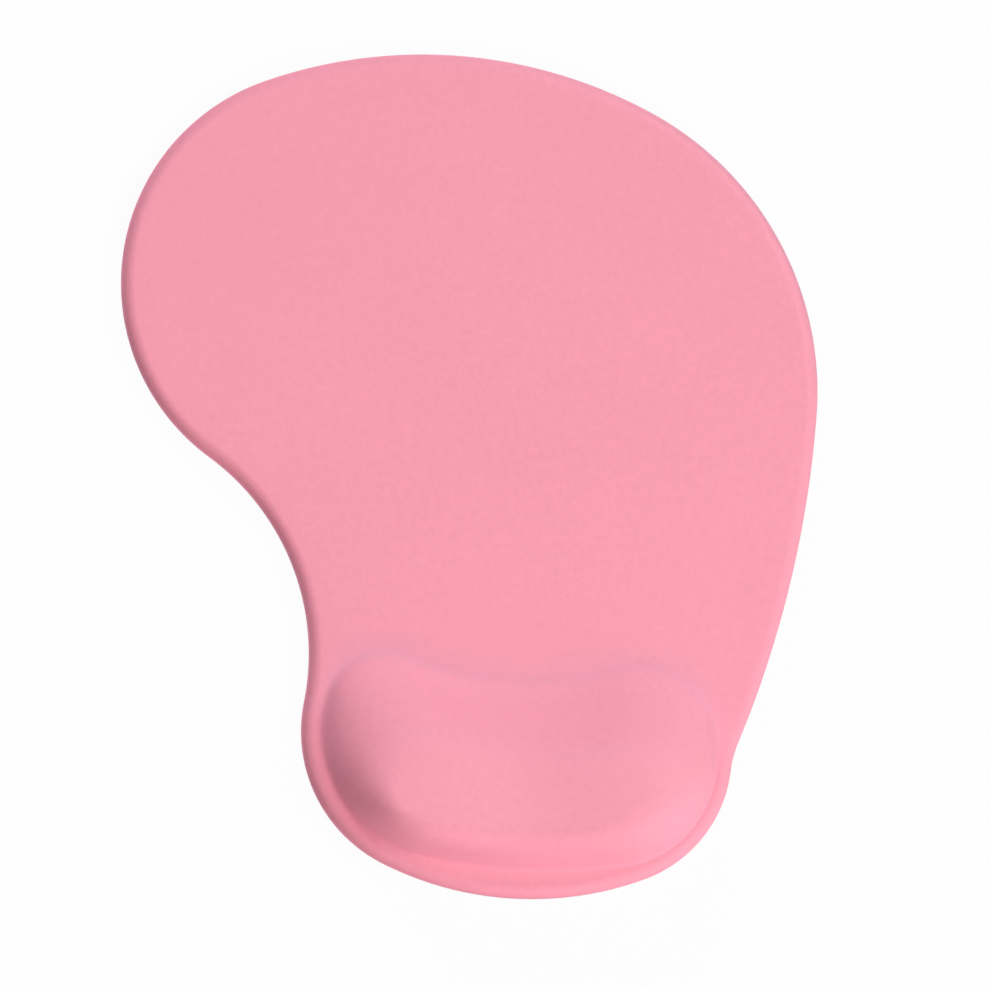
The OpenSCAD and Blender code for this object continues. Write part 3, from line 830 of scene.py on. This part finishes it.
# an area lamp aimed at the mat; the light that falls on a flat is power / (pi * distance^2) * sin(height),
# and pi of it is full light
def makeLamp(name, lamp):
    data = bpy.data.lights.new(name + "Lamp", "AREA")
    data.size = lamp["width"]
    data.color = lamp["colour"]
    height = math.radians(lamp["height"])
    data.energy = lamp["share"] * math.pi ** 2 * lamp["distance"] ** 2 / abs(math.sin(height))
    obj = bpy.data.objects.new(name + "Lamp", data)
    bpy.context.collection.objects.link(obj)
    out = heading(lamp["bearing"]) * math.cos(height)
    obj.location = Vector((out[0], out[1], math.sin(height))) * lamp["distance"]
    obj.rotation_mode = "QUATERNION"
    obj.rotation_quaternion = obj.location.to_track_quat("Z", "Y")


for name, lamp in lamps.items():
    makeLamp(name, lamp)

worldLook = dict(level=0.03, colour=(1.15, 0.8, 1.15))


# white where the camera or a glossy ray sees it, and a faint tint for all other light
def makeWorld(look):
    world = bpy.data.worlds.new("studio")
    bpy.context.scene.world = world
    world.use_nodes = True
    tree = world.node_tree
    plain = tree.nodes["Background"]
    feed(tree, plain, {"Color": (*look["colour"], 1), "Strength": look["level"]})
    white = addNode(tree, "Background", {"Color": (1, 1, 1, 1)})
    path = addNode(tree, "LightPath").outputs
    seen = mathNode(tree, "MAXIMUM", path["Is Camera Ray"], path["Is Glossy Ray"])
    mix = addNode(tree, "MixShader", {0: seen, 1: plain.outputs[0], 2: white.outputs[0]})
    feed(tree, tree.nodes["World Output"], {"Surface": mix.outputs[0]})


makeWorld(worldLook)

floorLook = dict(
    size=4.0, drop=0.03,  # metres across, and mm below the table's height
    glow=0.955, colour=0.8, bounce=0.35,  # glow and grey as the camera sees them, and grey for other rays
    roughness=0.9)


# floor: a plain square, clear from beneath and to light on its way up, so that the base can be looked at
def makeFloor(look):
    half = look["size"] / 2
    mesh = bpy.data.meshes.new("floor")
    corners = [(x * half, y * half, -look["drop"] * mm) for x, y in ((-1, -1), (1, -1), (1, 1), (-1, 1))]
    mesh.from_pydata(corners, [], [(0, 1, 2, 3)])
    obj = bpy.data.objects.new("floor", mesh)
    bpy.context.collection.objects.link(obj)
    material, tree, shader = newMaterial("paleFloor")
    path = addNode(tree, "LightPath").outputs
    toCamera = path["Is Camera Ray"]
    feed(tree, shader, {
        "Base Color": mixColour(tree, toCamera, (look["bounce"],) * 3, (look["colour"],) * 3),
        "Roughness": look["roughness"]})
    glow = addNode(tree, "Emission").outputs[0]
    share = mathNode(tree, "MULTIPLY", toCamera, look["glow"])
    top = addNode(tree, "MixShader", {0: share, 1: shader.outputs[0], 2: glow}).outputs[0]
    clear = addNode(tree, "BsdfTransparent").outputs[0]
    below = addNode(tree, "NewGeometry").outputs["Backfacing"]
    through = mathNode(tree, "MAXIMUM", below, path["Is Shadow Ray"])
    both = addNode(tree, "MixShader", {0: through, 1: top, 2: clear}).outputs[0]
    feed(tree, tree.nodes["Material Output"], {"Surface": both})
    mesh.materials.append(material)


makeFloor(floorLook)

bpy.context.scene.view_settings.view_transform = "Standard"
print("stage set")
